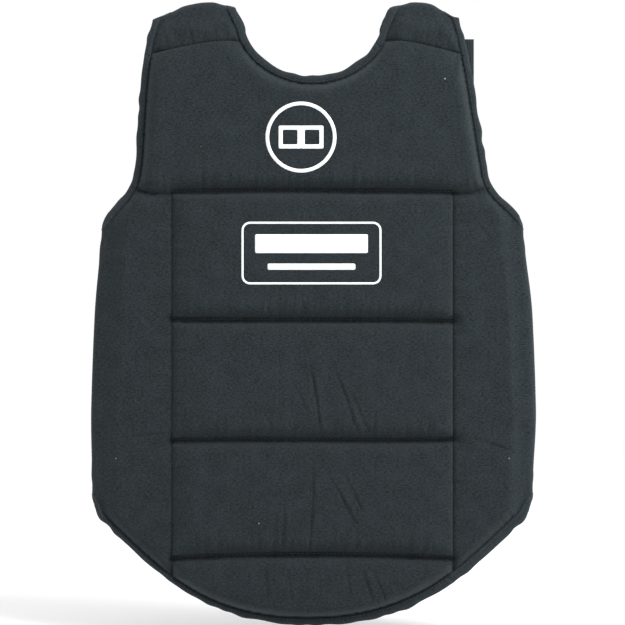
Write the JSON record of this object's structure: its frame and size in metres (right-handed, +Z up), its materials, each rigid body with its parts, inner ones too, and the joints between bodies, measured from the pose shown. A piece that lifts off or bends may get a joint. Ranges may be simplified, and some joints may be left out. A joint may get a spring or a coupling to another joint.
{
  "type": "padded chest protector vest",
  "caption": "Quilted foam chest and belly protector worn over the shoulders, with shoulder flaps, side wings and elastic hook-and-loop closing straps.",
  "frame": {"origin": "middle of the neck opening, level with the shoulder folds that rest on the wearer, between the front and the parts folded behind it", "axes": "+X towards the wearer's left, -Y out of the chest, +Z up; the vest is folded flat with its flaps and wings behind the front"},
  "size_m": [0.4292, 0.0551, 0.6015],
  "materials": {
    "cover": "matte",
    "lining": "matte",
    "foam": "matte",
    "binding": "matte",
    "thread": "satin",
    "print": "matte",
    "label": "satin",
    "elastic": "matte",
    "hook_tape": "matte",
    "loop_tape": "matte"
  },
  "bodies": {
    "front": {"front_cover": "cover", "front_lining": "lining", "chest_pad": "foam", "upper_rib_pad": "foam", "lower_rib_pad": "foam", "belly_pad": "foam", "hem_pad": "foam", "left_side_pad": "foam", "right_side_pad": "foam", "left_collar_pad": "foam", "right_collar_pad": "foam", "neck_binding": "binding", "left_armhole_binding": "binding", "right_armhole_binding": "binding", "hem_binding": "binding", "quilting_thread": "thread", "chest_emblem": "print", "belly_emblem": "print", "size_label": "label", "left_shoulder_bend": "cover", "left_side_bend": "cover", "right_shoulder_bend": "cover", "right_side_bend": "cover"},
    "left_flap": {"left_flap_cover": "cover", "left_flap_pad": "foam", "left_flap_lining": "lining", "left_flap_binding": "binding", "left_flap_patch": "cover", "left_shoulder_strap_end": "elastic"},
    "left_flap_strap": {"left_shoulder_strap": "elastic", "left_shoulder_hook": "hook_tape"},
    "right_flap": {"right_flap_cover": "cover", "right_flap_pad": "foam", "right_flap_lining": "lining", "right_flap_binding": "binding", "right_flap_patch": "cover", "right_shoulder_strap_end": "elastic"},
    "right_flap_strap": {"right_shoulder_strap": "elastic", "right_shoulder_hook": "hook_tape"},
    "left_wing": {"left_wing_cover": "cover", "left_wing_pad": "foam", "left_wing_lining": "lining", "left_wing_binding": "binding", "left_wing_loop": "loop_tape", "strap_anchor": "cover", "upper_strap_end": "elastic", "lower_strap_end": "elastic"},
    "right_wing": {"right_wing_cover": "cover", "right_wing_pad": "foam", "right_wing_lining": "lining", "right_wing_binding": "binding", "right_wing_loop": "loop_tape", "closure_loop": "loop_tape"},
    "upper_closing_strap": {"upper_strap": "elastic", "upper_hook": "hook_tape"},
    "lower_closing_strap": {"lower_strap": "elastic", "lower_hook": "hook_tape"}
  },
  "joints": [
    {"name": "left_wing_fold", "type": "hinge", "parent": "front", "child": "left_wing", "pos_m": [0.21455, 0, -0.33456], "axis": [0.0349, 0, -0.9994], "range_deg": [0, 180], "deforming": ["left_side_bend"]},
    {"name": "right_wing_fold", "type": "hinge", "parent": "front", "child": "right_wing", "pos_m": [-0.21455, 0, -0.33456], "axis": [0.0349, 0, 0.9994], "range_deg": [0, 180], "deforming": ["right_side_bend"]},
    {"name": "left_shoulder_fold", "type": "hinge", "parent": "front", "child": "left_flap", "pos_m": [0.11375, 0, 0.01444], "axis": [0.9903, 0, -0.1392], "range_deg": [0, 180], "deforming": ["left_shoulder_bend"]},
    {"name": "right_shoulder_fold", "type": "hinge", "parent": "front", "child": "right_flap", "pos_m": [-0.11375, 0, 0.01444], "axis": [0.9903, 0, 0.1392], "range_deg": [0, 180], "deforming": ["right_shoulder_bend"]},
    {"name": "left_flap_strap_fold", "type": "hinge", "parent": "left_flap", "child": "left_flap_strap", "pos_m": [0.138, 0.025, -0.148], "axis": [-1, 0, 0], "range_deg": [0, 180]},
    {"name": "right_flap_strap_fold", "type": "hinge", "parent": "right_flap", "child": "right_flap_strap", "pos_m": [-0.138, 0.025, -0.148], "axis": [-1, 0, 0], "range_deg": [0, 180]},
    {"name": "upper_strap_fold", "type": "hinge", "parent": "left_wing", "child": "upper_closing_strap", "pos_m": [0.038, 0.025, -0.304], "axis": [0, 0, 1], "range_deg": [0, 180]},
    {"name": "lower_strap_fold", "type": "hinge", "parent": "left_wing", "child": "lower_closing_strap", "pos_m": [0.038, 0.025, -0.375], "axis": [0, 0, 1], "range_deg": [0, 180]}
  ]
}
